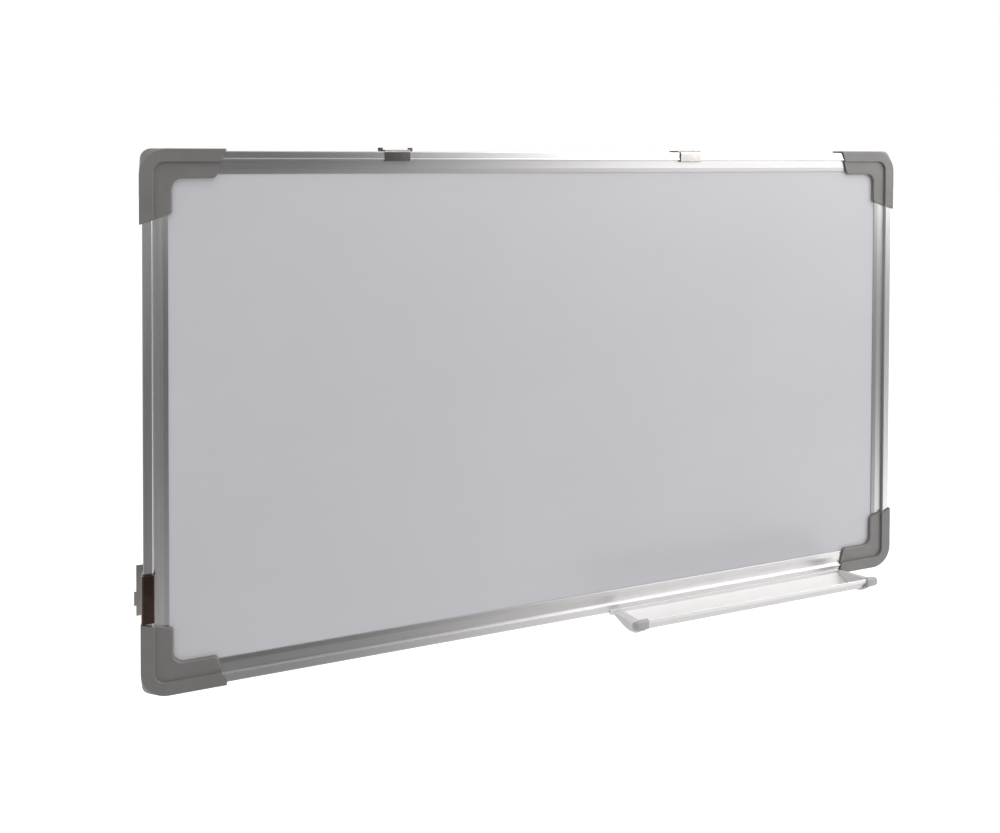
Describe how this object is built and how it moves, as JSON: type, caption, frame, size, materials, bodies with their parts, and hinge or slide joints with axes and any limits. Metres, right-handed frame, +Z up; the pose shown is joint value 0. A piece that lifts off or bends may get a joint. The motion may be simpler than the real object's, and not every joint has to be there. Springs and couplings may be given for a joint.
{
  "type": "whiteboard",
  "caption": "Wall-hung dry-wipe board in a stepped metal frame with moulded corner caps, sliding clip hangers and a short sliding pen tray.",
  "frame": {"origin": "middle of the board's back, on the outer face of the backing sheet", "axes": "+Z up, +X to the right as the reader sees the board, +Y from the writing face towards the wall"},
  "size_m": [1.0143, 0.0858, 0.6124],
  "materials": {
    "writing_enamel": "smooth glossy white enamel",
    "core_board": "raw brown board",
    "backing_metal": "dull grey coated sheet",
    "rail_metal": "satin anodised, drawn along the rail",
    "cap_plastic": "fine-grained grey moulding",
    "screw_steel": "zinc plated",
    "hanger_plating": "bright plated pressed steel",
    "tray_metal": "satin anodised",
    "tray_end_plastic": "fine-grained pale grey moulding"
  },
  "bodies": {
    "board": {"writing_sheet": "writing_enamel", "core_panel": "core_board", "backing_sheet": "backing_metal", "rail_left": "rail_metal", "rail_top": "rail_metal", "rail_right": "rail_metal", "rail_bottom": "rail_metal", "corner_cap_bottom_left": "cap_plastic", "corner_cap_top_left": "cap_plastic", "corner_cap_top_right": "cap_plastic", "corner_cap_bottom_right": "cap_plastic", "cap_screw_bottom_left_1": "screw_steel", "cap_screw_bottom_left_2": "screw_steel", "cap_screw_top_left_1": "screw_steel", "cap_screw_top_left_2": "screw_steel", "cap_screw_top_right_1": "screw_steel", "cap_screw_top_right_2": "screw_steel", "cap_screw_bottom_right_1": "screw_steel", "cap_screw_bottom_right_2": "screw_steel"},
    "top_left_hanger": {"hanger_top_left": "hanger_plating"},
    "top_right_hanger": {"hanger_top_right": "hanger_plating"},
    "side_hanger": {"hanger_side": "hanger_plating"},
    "tray": {"tray_shelf": "tray_metal", "tray_end_left": "tray_end_plastic", "tray_end_right": "tray_end_plastic"}
  },
  "joints": [
    {"name": "top_left_hanger_slide", "type": "slide", "parent": "board", "child": "top_left_hanger", "axis": [1, 0, 0], "range_m": [-0.17, 0.189]},
    {"name": "top_right_hanger_slide", "type": "slide", "parent": "board", "child": "top_right_hanger", "axis": [1, 0, 0], "range_m": [-0.1545, 0.2205]},
    {"name": "side_hanger_slide", "type": "slide", "parent": "board", "child": "side_hanger", "axis": [0, 0, 1], "range_m": [0, 0.3794]},
    {"name": "tray_slide", "type": "slide", "parent": "board", "child": "tray", "axis": [1, 0, 0], "range_m": [-0.469, 0]}
  ]
}
